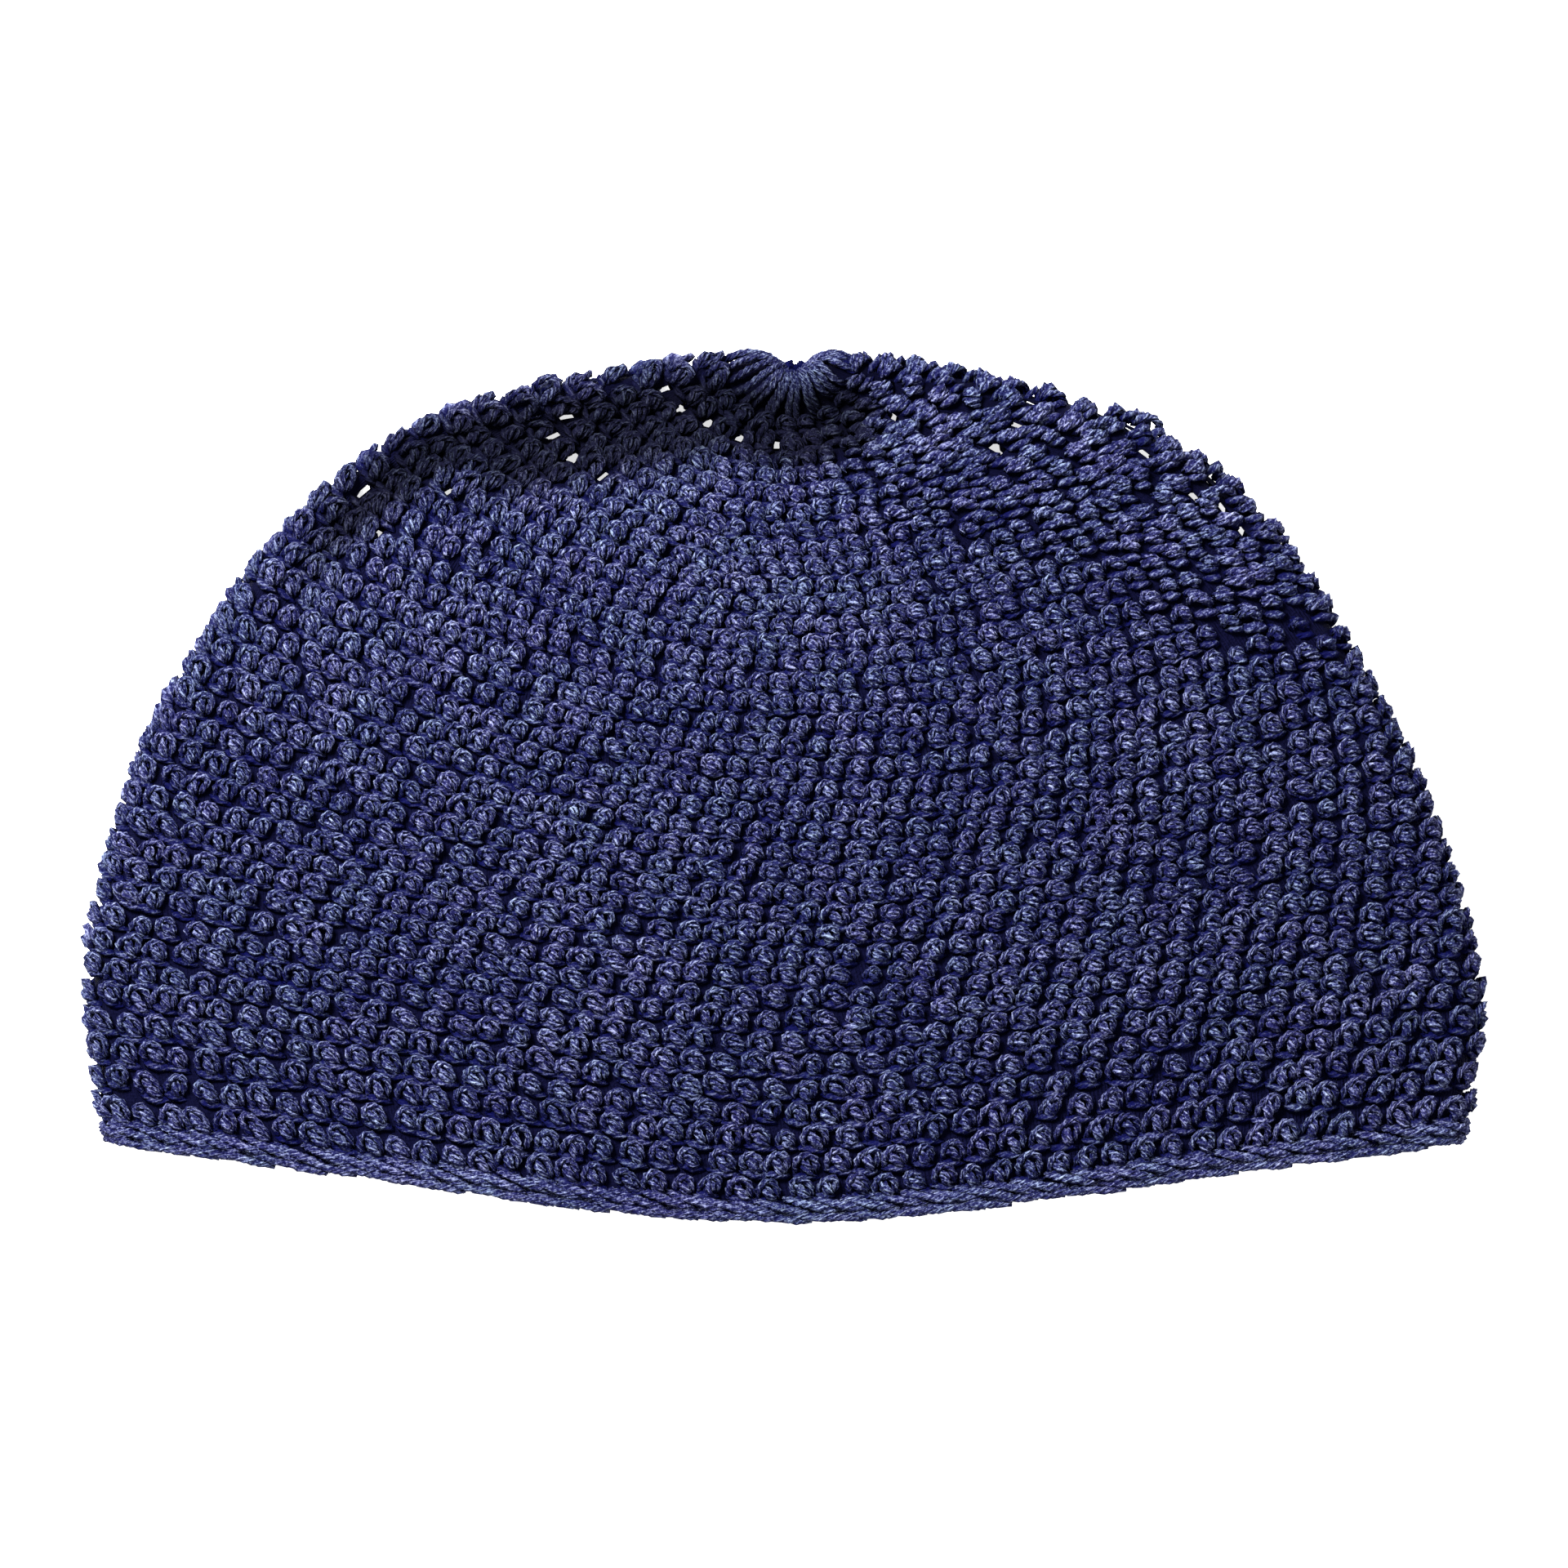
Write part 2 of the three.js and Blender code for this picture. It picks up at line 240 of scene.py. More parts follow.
# The same three strands where the cloth is pulled taut: they lie slantwise, each apart from the others
ARCH_PULLED = (
    dict(across=-0.36, down=-0.3, out=-1.0),
    dict(across=-0.33, down=-0.22, out=0.5),
    dict(across=-0.24, down=-0.14, out=1.2),
    dict(across=-0.12, down=-0.04, out=1.4),
    dict(across=0.0, down=0.05, out=1.35),
    dict(across=0.12, down=0.13, out=1.1),
    dict(across=0.21, down=0.2, out=0.6),
    dict(across=0.26, down=0.26, out=-0.3),
    dict(across=0.28, down=0.3, out=-1.1),
)
CORE_PULLED = (
    dict(across=-0.12, down=-0.4, out=-0.9),
    dict(across=0.02, down=-0.3, out=0.8),
    dict(across=0.16, down=-0.18, out=1.3),
    dict(across=0.28, down=-0.06, out=1.2),
    dict(across=0.38, down=0.04, out=0.5),
    dict(across=0.46, down=0.12, out=-1.0),
)
FRONT_LOOP_PULLED = (
    dict(across=-0.42, down=0.24, out=-0.9),
    dict(across=-0.2, down=0.36, out=0.6),
    dict(across=0.02, down=0.46, out=1.0),
    dict(across=0.22, down=0.54, out=0.5),
    dict(across=0.38, down=0.6, out=-1.0),
)
# The edging's chain: a loop on the rim's face, one along its very edge and one on its inner face
EDGE_FACE_LOOP = (
    dict(across=-1.0, down=-0.5, out=-0.5),
    dict(across=-0.5, down=-0.36, out=1.0),
    dict(across=0.05, down=-0.22, out=1.5),
    dict(across=0.55, down=-0.08, out=1.2),
    dict(across=1.0, down=0.06, out=-0.2),
)
EDGE_RIM_LOOP = (
    dict(across=-1.0, down=-0.02, out=-0.5),
    dict(across=-0.5, down=0.1, out=0.7),
    dict(across=0.0, down=0.2, out=0.95),
    dict(across=0.5, down=0.26, out=0.6),
    dict(across=1.0, down=0.28, out=-0.5),
)
EDGE_BACK_LOOP = (
    dict(across=-0.85, down=-0.1, out=0.0),
    dict(across=-0.4, down=0.05, out=-1.1),
    dict(across=0.1, down=0.1, out=-1.3),
    dict(across=0.6, down=0.05, out=-1.1),
    dict(across=0.9, down=-0.1, out=0.0),
)
# A strand of the gathered centre. Here `down` is in rounds from the crown's centre.
GATHER = (
    dict(across=0.0, down=0.2, out=-1.6),
    dict(across=0.05, down=0.5, out=0.3),
    dict(across=0.0, down=0.95, out=1.5),
    dict(across=-0.05, down=1.5, out=1.6),
    dict(across=0.0, down=2.0, out=0.6),
    dict(across=0.05, down=2.4, out=-0.9),
)
# A stitch's strands: points along them where finely made and where plain, thickness as a share of YARN, and
# whether they are plied where finely made
STRANDS = (
    dict(loose=ARCH, pulled=ARCH_PULLED, fine=10, plain=7, thickness=0.95, plied=True),
    dict(loose=CORE, pulled=CORE_PULLED, fine=7, plain=5, thickness=1.25, plied=True),
    dict(loose=FRONT_LOOP, pulled=FRONT_LOOP_PULLED, fine=5, plain=4, thickness=0.85, plied=False),
)
EDGING_LOOPS = ((EDGE_FACE_LOOP, YARN), (EDGE_RIM_LOOP, 0.9 * YARN), (EDGE_BACK_LOOP, YARN))
GATHER_DIAMETER = 0.85 * YARN

# Noise in the yarn's look: its scale to a metre, or for the fibres to a unit of their own place, its detail,
# and the values of it that become 0 and 1
FIBRES = dict(scale=1.0, detail=2.0, low=0.36, high=0.66)
FUZZ = dict(scale=1900.0, detail=2.0, low=0.33, high=0.67)
PATCHES = dict(scale=45.0, detail=2.0, low=0.3, high=0.7)
TINTS = dict(scale=120.0, detail=2.0, low=0.35, high=0.65)
# Where the painted highlights go
HIGHLIGHT_FLECKS = dict(scale=2100.0, detail=1.0, low=0.66, high=0.76)
FIBRES_ROUND = 6.0  # units of their place in a turn round the yarn
FIBRES_ALONG = 0.6  # and in a millimetre along it
# The yarn's colours, linear, each after the lightness from 0 to 1 that it stands for
YARN_COLOURS = (
    (0.2, (0.0015, 0.0015, 0.015, 1)),
    (0.48, (0.012, 0.013, 0.05, 1)),
    (0.66, (0.081, 0.091, 0.163, 1)),
    (0.92, (0.21, 0.238, 0.33, 1)),
)
VIOLET_TINT = (1.04, 0.97, 1.08, 1)
GREEN_TINT = (0.9, 1.0, 1.0, 1)
# Painted highlight colour on flecks of the yarn
PAINTED_HIGHLIGHT_COLOUR = (0.2, 0.23, 0.36, 1)
# Painted shade colour for yarn lying deep in the cloth
PAINTED_SHADE_COLOUR = (0.0009, 0.0012, 0.022, 1)
# Near-black painted shade colour for the pressed-in hollows; its strength follows below
PAINTED_HOLLOW_SHADE_COLOUR = (0.0015, 0.0015, 0.004, 1)
PAINTED_HIGHLIGHT_STRENGTH = 0.6
PAINTED_HOLLOW_SHADE_STRENGTH = 0.9


def station_value(column, share):
    """The value of a column of STATIONS at shares of the way, on a smooth curve through the rows"""
    at = np.array([row["share"] for row in STATIONS])
    value = np.array([row[column] for row in STATIONS], dtype=float)
    rows = np.arange(len(at))
    before = np.maximum(rows - 1, 0)
    after = np.minimum(rows + 1, len(at) - 1)
    slope = (value[after] - value[before]) / (at[after] - at[before])
    low = np.clip(np.searchsorted(at, share) - 1, 0, len(at) - 2)
    span = at[low + 1] - at[low]
    t = (share - at[low]) / span
    return (
        (2 * t**3 - 3 * t**2 + 1) * value[low]
        + (t**3 - 2 * t**2 + t) * span * slope[low]
        + (3 * t**2 - 2 * t**3) * value[low + 1]
        + (t**3 - t**2) * span * slope[low + 1]
    )


def fold_point(side, share):
    x = station_value(side + "_x", share) * FLAT_WIDTH
    y = (0.5 - station_value(side + "_y", share)) * FLAT_DEPTH
    return np.stack([x, y], axis=-1)


FOLD_SHARES = np.linspace(0, 1, FOLD_LINE_STEPS + 1)
FOLD_LINE = np.concatenate([fold_point("left", FOLD_SHARES[:0:-1]), fold_point("right", FOLD_SHARES)])


def distance_to_fold(points):
    """How far points, seen from above, are from the line of the folds"""
    starts, ends = FOLD_LINE[:-1], FOLD_LINE[1:]
    along = ends - starts
    away = points[..., None, :] - starts
    t = np.clip((away * along).sum(-1) / (along**2).sum(-1), 0, 1)
    return np.linalg.norm(away - t[..., None] * along, axis=-1).min(-1)


def round_path(share):
    """A round seen from above, from the left fold, down through its lowest point, to the right fold"""
    left, right = fold_point("left", share), fold_point("right", share)
    lean = math.radians(station_value("lean", share))
    middle_y = (0.5 - station_value("middle_y", share)) * FLAT_DEPTH
    depth = ((left[1] + right[1]) / 2 - middle_y) / DIP_OF_HANDLES
    reach = depth / math.tan(lean)
    handles = left, left + (reach, -depth), right - (reach, depth), right
    t = np.linspace(0, 1, PATH_POINTS)[:, None]
    weights = (1 - t) ** 3, 3 * t * (1 - t) ** 2, 3 * t**2 * (1 - t), t**3
    return sum(weight * handle for weight, handle in zip(weights, handles))


def dent_depth(x, distance):
    """How deep the dents press the upper layer at places x across and `distance` in from the fold"""
    depth = np.zeros(distance.shape)
    for dent in DENTS:
        length = (x - dent["x"] * FLAT_WIDTH) / (dent["half_length"] * FLAT_WIDTH)
        width = (distance - dent["inside"] * FLAT_DEPTH) / (dent["half_width"] * FLAT_DEPTH)
        depth = np.maximum(depth, dent["depth"] * FOLD_GAP * np.exp(-(length**4) - width**2))
    return depth


def wall_height(points, layer):
    """Height of the middle of the wall over the floor, for the upper layer, 1, or the lower one, -1"""
    distance = distance_to_fold(points)
    inside = np.maximum(0, distance - WALL / 2)
    inside[0] = inside[-1] = 0
    near = np.minimum(inside, FOLD_RADIUS)
    turned = np.sqrt(FOLD_RADIUS**2 - (FOLD_RADIUS - near) ** 2)
    height = WALL / 2 + FOLD_RADIUS + layer * turned
    if layer < 0:
        return height
    climb = np.clip((inside - FOLD_RADIUS) / RISE_REACH, 0, 1)
    risen = 1 - (1 - climb) ** 2
    return height + MOUTH_RISE * risen - turned / FOLD_RADIUS * dent_depth(points[:, 0], distance)


def hollow_at(points, upper):
    """How deep the upper layer is pressed in at points, as a share of FOLD_GAP"""
    return np.where(upper, dent_depth(points[:, 0], distance_to_fold(points)) / FOLD_GAP, 0)


def evenly(points, count, closed=False):
    """Points at equal steps along a line. A closed line goes back to its first point."""
    if closed:
        points = np.concatenate([points, points[:1]])
    run = np.concatenate([[0], np.cumsum(np.linalg.norm(np.diff(points, axis=0), axis=1))])
    at = np.linspace(0, run[-1], count, endpoint=not closed)
    return np.stack([np.interp(at, run, column) for column in points.T], axis=-1), run[-1]


def wall_ring(share, count):
    """A closed ring of the wall's middle, across the upper layer and back under it, and its length"""
    path, length = evenly(round_path(share), PATH_POINTS)
    inset = min(WALL / 2, length / 4) / length
    half_turn = np.linspace(0, math.pi, LAYER_POINTS)
    across = inset + (1 - 2 * inset) * (1 - np.cos(half_turn)) / 2
    along = np.linspace(0, 1, PATH_POINTS)
    seen = np.stack([np.interp(across, along, column) for column in path.T], axis=-1)
    upper = np.column_stack([seen, wall_height(seen, 1)])
    lower = np.column_stack([seen, wall_height(seen, -1)])[::-1]
    return evenly(np.concatenate([upper, lower[1:-1]]), count, closed=True)


class Wall:
    """The middle surface of the cap's wall, found by a round, counted from the crown's centre, and a turn"""

    FIRST = 0.1  # the first ring, in rounds
    STEP = 0.25  # from ring to ring, in rounds
    COLUMNS = 720  # points in a ring

    def __init__(self):
        rounds = np.arange(self.FIRST, ALL_ROUNDS + self.STEP, self.STEP)
        rings = [wall_ring(min(1, r / ALL_ROUNDS), self.COLUMNS) for r in rounds]
        # Just short of the last ring, so that each place has a next one
        self.last = len(rounds) - 1.001
        points = np.stack([ring for ring, _ in rings])
        # Past the rim the wall goes on as it came
        rim = np.nonzero(rounds <= ALL_ROUNDS)[0][-1]
        per_round = points[rim] - points[rim - round(1 / self.STEP)]
        past_rim = rounds[rim + 1:] - rounds[rim]
        points[rim + 1:] = points[rim] + per_round * past_rim[:, None, None]
        self.lengths = np.array([length for _, length in rings])
        self.rounds = rounds
        self.points = points
        upper = np.arange(self.COLUMNS) < self.COLUMNS / 2
        self.hollows = np.stack([hollow_at(ring[:, :2], upper) for ring in points])
        around = np.roll(points, -2, axis=1) - np.roll(points, 2, axis=1)
        to_rim = np.gradient(points, axis=0)
        normals = np.cross(to_rim, around)
        # Smoothed, because right at the crown's centre a cross product can be nothing
        normals = sum(np.roll(normals, shift, axis=1) for shift in range(-2, 3))
        self.normals = normals / np.linalg.norm(normals, axis=-1, keepdims=True)

    def length(self, at_round):
        return float(np.interp(at_round, self.rounds, self.lengths))

    def at(self, rounds, turns, out):
        """Points `out` millimetres out from the wall's middle, with the wall's normals and hollows there"""
        row = np.clip((rounds - self.FIRST) / self.STEP, 0, self.last)
        column = (turns % 1) * self.COLUMNS
        i, j = row.astype(int), column.astype(int) % self.COLUMNS
        a, b = (row - i)[..., None], (column - np.floor(column))[..., None]
        right = (j + 1) % self.COLUMNS
        place, normal, hollow = (
            (1 - a) * ((1 - b) * grid[i, j] + b * grid[i, right])
            + a * ((1 - b) * grid[i + 1, j] + b * grid[i + 1, right])
            for grid in (self.points, self.normals, self.hollows[..., None])
        )
        normal /= np.linalg.norm(normal, axis=-1, keepdims=True)
        return place + np.asarray(out)[..., None] * normal, normal, hollow[..., 0]


WALL_SURFACE = Wall()


def smooth_path(rows, count):
    """A smooth line through a table's rows, as `count` rows of across, down and out"""
    knots = np.array([[row["across"], row["down"], row["out"]] for row in rows])
    ends = np.concatenate([[2 * knots[0] - knots[1]], knots, [2 * knots[-1] - knots[-2]]])
    # Just short of the last knot, so that each point has a next one
    at = np.linspace(0, len(knots) - 1.000001, count)
    k = at.astype(int)
    t = (at - k)[:, None]
    p0, p1, p2, p3 = (ends[k + n] for n in range(4))
    bend = 2 * p0 - 5 * p1 + 4 * p2 - p3
    twist = 3 * p1 - p0 - 3 * p2 + p3
    return 0.5 * (2 * p1 + (p2 - p0) * t + bend * t**2 + twist * t**3)


def frames(centres, normals):
    """Directions to the side of and up from rows of centres, and how far along its row each centre is"""
    tangent = np.gradient(centres, axis=1)
    tangent /= np.linalg.norm(tangent, axis=-1, keepdims=True)
    side = np.cross(tangent, normals)
    side /= np.linalg.norm(side, axis=-1, keepdims=True)
    steps = np.linalg.norm(np.diff(centres, axis=1), axis=-1)
    run = np.concatenate([np.zeros((len(centres), 1)), np.cumsum(steps, axis=1)], axis=1)
    return side, np.cross(side, tangent), run


def from_gap(gap, points):
    """Where points are, seen from above, from the middle of a gap, in line with the camera"""
    middle = np.array([gap["x"] * FLAT_WIDTH, gap["y"] * FLAT_DEPTH])
    return points[..., :2] - middle * (CAMERA_HEIGHT - points[..., 2:]) / (CAMERA_HEIGHT - FOLD_HEIGHT)


def clear_gaps(centres, diameter):
    """Moves each strand that would cross a gap aside, as a whole"""
    for gap in GAPS:
        clear = gap["radius"] + np.broadcast_to(diameter, len(centres)) / 2
        near = np.linalg.norm(from_gap(gap, centres), axis=-1).min(1) < clear
        if not near.any():
            continue
        moved = centres[near]
        aside = from_gap(gap, moved).mean(1)
        aside *= ASIDE_STEP / np.linalg.norm(aside, axis=-1, keepdims=True)
        for _ in range(ASIDE_STEPS):
            crosses = np.linalg.norm(from_gap(gap, moved), axis=-1).min(1) < clear[near]
            moved[..., :2] += (crosses[:, None] * aside)[:, None]
        centres[near] = moved
    return centres


class YarnMesh:
    """Many tubes of yarn gathered into one mesh, with the yarn's own coordinates as its UV map"""

    def __init__(self):
        self.vertices = []
        self.loops = []
        self.sizes = []
        self.uvs = []
        self.tones = []
        self.shades = []
        self.hollows = []
        self.count = 0

    def add_strands(self, centres, normals, out, hollow, diameter, plies, sides):
        """Strands of yarn along rows of centres, an array of strands by points by 3. They lie `out` from the
        wall's middle, where the cap is pressed in by `hollow`. More than one ply turn about each other."""
        if plies == 1:
            self.add_tubes(centres, normals, out, hollow, diameter, sides)
            return
        side, up, run = frames(centres, normals)
        start = random.uniform(0, 1, (len(centres), 1))
        off_axis = (1 - PLY_DIAMETER) / 2 * np.reshape(diameter, (-1, 1))
        for ply in range(plies):
            angle = 2 * math.pi * (start + ply / plies + run / PLY_PITCH)
            aside, above = off_axis * np.cos(angle), off_axis * np.sin(angle)
            moved = centres + aside[..., None] * side + above[..., None] * up
            self.add_tubes(moved, normals, out + above, hollow, PLY_DIAMETER * diameter, sides)

    def add_tubes(self, centres, normals, out, hollow, diameter, sides):
        """Plain tubes along rows of centres"""
        tubes, steps, _ = centres.shape
        side, up, run = frames(centres, normals)
        run = run + random.uniform(0, RUN_STARTS, (tubes, 1))
        taper = 1 - TAPER * np.abs(np.linspace(-1, 1, steps)) ** 4
        radius = np.reshape(diameter, (-1, 1, 1)) / 2 * random.uniform(*GIRTHS, (tubes, 1, 1))
        radius = radius * taper[:, None] * random.normal(1, LUMPS, (tubes, steps, sides))
        angle = np.arange(sides) * 2 * math.pi / sides
        aside, above = radius * np.cos(angle), radius * np.sin(angle)
        rings = centres[:, :, None] + aside[..., None] * side[:, :, None] + above[..., None] * up[:, :, None]
        rings[..., 2] = np.maximum(rings[..., 2], FLOOR_CLEARANCE)
        index = self.count + np.arange(tubes * steps * sides).reshape(tubes, steps, sides)
        self.count += index.size
        self.vertices.append(rings.reshape(-1, 3))
        self.tones.append(np.repeat(random.uniform(0, 1, tubes), steps * sides))
        # Painted shade: yarn is painted darker the deeper it lies in the cloth, and near black where the cap
        # is pressed in
        self.shades.append(painted_depth_shade(out[..., None] + above).ravel())
        self.hollows.append(np.repeat(ramp_up(hollow, *STRANDS_HOLLOW_SHADE).ravel(), sides))
        self.add_sides(index, run)
        self.add_ends(index, run)

    def add_sides(self, index, run):
        """The faces round tubes, whose vertices are an array of tubes by steps by sides"""
        sides = index.shape[2]
        here, there = index[:, :-1], index[:, 1:]
        quads = np.stack([here, there, np.roll(there, -1, axis=2), np.roll(here, -1, axis=2)], axis=-1)
        self.add_faces(quads.reshape(-1, 4))
        u = np.broadcast_to(np.arange(sides) / sides, here.shape)
        v0 = np.broadcast_to(run[:, :-1, None], here.shape)
        v1 = np.broadcast_to(run[:, 1:, None], here.shape)
        corners = [(u, v0), (u, v1), (u + 1 / sides, v1), (u + 1 / sides, v0)]
        self.uvs.append(np.stack([np.stack(corner, axis=-1) for corner in corners], axis=-2).reshape(-1, 2))

    def add_ends(self, index, run):
        """The face on each end of the same tubes"""
        sides = index.shape[2]
        for cap, at in ((index[:, 0], run[:, 0]), (index[:, -1, ::-1], run[:, -1])):
            self.add_faces(cap)
            turn = np.broadcast_to(np.arange(sides) / sides, cap.shape)
            self.uvs.append(np.stack([turn, np.broadcast_to(at[:, None], cap.shape)], axis=-1).reshape(-1, 2))

    def add_faces(self, faces):
        self.loops.append(faces.reshape(-1))
        self.sizes.append(np.full(len(faces), faces.shape[1]))

    def make(self, name, material):
        return make_piece(
            name, np.concatenate(self.vertices), np.concatenate(self.loops), np.concatenate(self.sizes),
            np.concatenate(self.uvs), material, tone=np.concatenate(self.tones),
            shade=np.concatenate(self.shades), hollow=np.concatenate(self.hollows),
        )


def painted_depth_shade(out):
    """Painted shade, from 0 to 1: yarn is painted darker the less it stands out of the wall's middle"""
    return ramp_up(out, OPEN_OUT, DEEP_OUT)


def make_piece(name, vertices, loops, sizes, uvs, material, **attributes):
    """A smooth-shaded mesh piece from arrays in millimetres, with each attribute's value at every vertex"""
    mesh = bpy.data.meshes.new(name)
    mesh.vertices.add(len(vertices))
    mesh.vertices.foreach_set("co", (vertices * MM).ravel())
    mesh.loops.add(len(loops))
    mesh.loops.foreach_set("vertex_index", loops)
    mesh.polygons.add(len(sizes))
    mesh.polygons.foreach_set("loop_start", np.concatenate([[0], np.cumsum(sizes)[:-1]]))
    mesh.polygons.foreach_set("use_smooth", np.ones(len(sizes), dtype=bool))
    mesh.uv_layers.new(name="yarn").data.foreach_set("uv", uvs.ravel())
    for attribute, values in attributes.items():
        mesh.attributes.new(attribute, "FLOAT", "POINT").data.foreach_set("value", values)
    mesh.update(calc_edges=True)
    mesh.validate()
    mesh.materials.append(material)
    piece = bpy.data.objects.new(name, mesh)
    bpy.context.collection.objects.link(piece)
    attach(piece, "root")
    return piece


def stitches_in(at_round):
    return min(MOST_STITCHES, round(WALL_SURFACE.length(at_round) / STITCH_WIDTH))


def lay(yarn, strand, at_round, turns, width, diameter, plies, sides, jitter, least_out=-WALL):
    """Lays one strand of each stitch of a round. turns holds the stitches' middles, width their share of a
    turn, and strand its line for each stitch, an array of stitches by steps by 3. Its yarn's painted shade
    is as if it lay at least `least_out` out of the wall's middle."""
    across, down, out = np.moveaxis(strand, -1, 0)
    shift = jitter["shift"]
    across = across * jitter["size"][:, None] + jitter["lean"][:, None] * down + shift[:, :1]
    down = down * jitter["size"][:, None] + shift[:, 1:2]
    out = out + shift[:, 2:3]
    places, normals, hollow = WALL_SURFACE.at(at_round + down, turns[:, None] + across * width, out)
    # How far out the yarn counts for its painted shade
    lit_out = np.maximum(out, least_out)
    yarn.add_strands(clear_gaps(places, diameter), normals, lit_out, hollow, diameter, plies, sides)


def ramp_up(value, start, end):
    """0 up to start, 1 from end on, and smooth between. start may be the larger of the two."""
    t = np.clip((value - start) / (end - start), 0, 1)
    return t * t * (3 - 2 * t)


def pulled_at(at_round, turns):
    """How taut the cloth is pulled at stitches, from 0 to 1: most beside the crown's right fold"""
    places = WALL_SURFACE.at(np.full_like(turns, at_round), turns, np.zeros_like(turns))[0]
    near = ramp_up(distance_to_fold(places[:, :2]), *TAUT_FROM_FOLD)
    across = ramp_up(places[:, 0] / FLAT_WIDTH, *TAUT_ACROSS)
    return near * across * ramp_up(places[:, 1] / FLAT_DEPTH, *TAUT_UP)


def along_strand(loose, pulled, steps, share):
    """A strand's line for each stitch, between its loose and its pulled table by the share for each stitch"""
    share = share[:, None, None]
    return (1 - share) * smooth_path(loose, steps) + share * smooth_path(pulled, steps)


def wander(count, steps):
    """How far each point of each strand strays from its table's line, changing slowly along the strand"""
    bends = random.normal(0, 1, (count, WANDER_BENDS, 3)) * WANDER
    at = np.linspace(0, WANDER_BENDS - 1, steps)
    nearness = np.clip(1 - np.abs(at[:, None] - np.arange(WANDER_BENDS)), 0, 1)
    return np.einsum("sb,cbx->csx", nearness, bends)


def stitch_jitter(count, much):
    """Small differences between stitches. much may be one number or one for each."""
    much = np.broadcast_to(much, count)
    return dict(
        shift=much[:, None] * random.normal(0, 1, (count, 3)) * SHIFTS,
        size=1 + SIZES * much * random.normal(0, 1, count),
        lean=LEANS * much * random.normal(0, 1, count),
    )


def add_round(yarn, number):
    """One round of single crochet. number counts from 1 beside the gathered centre."""
    at_round = BUTTON_ROUNDS + number - 0.5
    count = stitches_in(at_round)
    turns = (np.arange(count) + 0.5 + ROUND_SHIFT * number) / count
    upper = (turns % 1) < UPPER_TURNS
    for chosen, fine in ((upper, True), (~upper, False)):
        chosen_turns = turns[chosen]
        pulled = pulled_at(at_round, chosen_turns)
        jitter = stitch_jitter(len(chosen_turns), 1 + TAUT_JITTER * pulled)
        for row in STRANDS:
            steps = row["fine"] if fine else row["plain"]
            strand = along_strand(row["loose"], row["pulled"], steps, pulled)
            strand = strand + wander(*strand.shape[:2])
            plies, sides = (PLIES, STITCH_PLY_SIDES) if fine and row["plied"] else (1, TUBE_SIDES)
            diameter = row["thickness"] * YARN * (1 + TAUT_THICKNESS * pulled)
            lay(yarn, strand, at_round, chosen_turns, 1 / count, diameter, plies, sides, jitter)


def make_rounds(first, last, material):
    yarn = YarnMesh()
    for number in range(first, last + 1):
        add_round(yarn, number)
    return yarn.make(f"rounds_{first:02d}_to_{last:02d}", material)


def make_button(material):
    yarn = YarnMesh()
    turns = (np.arange(GATHERS) + 0.5) / GATHERS
    jitter = stitch_jitter(GATHERS, CALM)
    jitter["shift"][:, 1] = 0
    strand = np.broadcast_to(smooth_path(GATHER, GATHER_STEPS), (GATHERS, GATHER_STEPS, 3))
    lay(yarn, strand, 0.0, turns, 1 / GATHERS, GATHER_DIAMETER, PLIES, TUBE_SIDES, jitter)
    return yarn.make("gathered_centre", material)


def make_edging(material):
    yarn = YarnMesh()
    count = MOST_STITCHES
    turns = (np.arange(count) + 0.5) / count
    at_round = BUTTON_ROUNDS + WALL_ROUNDS + 0.5
    for rows, diameter in EDGING_LOOPS:
        jitter = stitch_jitter(count, CALM)
        strand = np.broadcast_to(smooth_path(rows, EDGING_STEPS), (count, EDGING_STEPS, 3))
        lay(yarn, strand, at_round, turns, 1 / count, diameter, PLIES, TUBE_SIDES, jitter, EDGING_OUT)
    return yarn.make("edging_chain", material)


def block_edge(index, row, column, width, turned):
    """The vertices round a block of cells one row high and `width` columns wide"""
    columns = np.arange(column, column + width + 1) % index.shape[1]
    near, far = (row + 1, row) if turned else (row, row + 1)
    return np.concatenate([index[near, columns[:1]], index[far, columns], index[near, columns[:0:-1]]])


def nearest_cell(gap, vertices, cells, face, layer):
    """Row and column of the cell nearest to a gap, among the rows of a face and the columns of a layer"""
    away = from_gap(gap, vertices[cells[face, layer]].mean(2))
    row, column = np.unravel_index(np.linalg.norm(away, axis=-1).argmin(), away.shape[:2])
    return row + face.start, column + layer.start


def draw_to_gap(gap, vertices, edge, movable):
    """Moves those vertices round a passage's edge that may be moved, so that its middle lies in the gap"""
    middle = vertices[edge].mean(0)
    away = np.linalg.norm(vertices - middle, axis=-1)
    near = movable & (away < PASSAGE_REACH)
    falloff = np.exp(-((away[near] / PASSAGE_SOFTNESS) ** 4))
    vertices[near, :2] -= from_gap(gap, middle) * falloff[:, None]


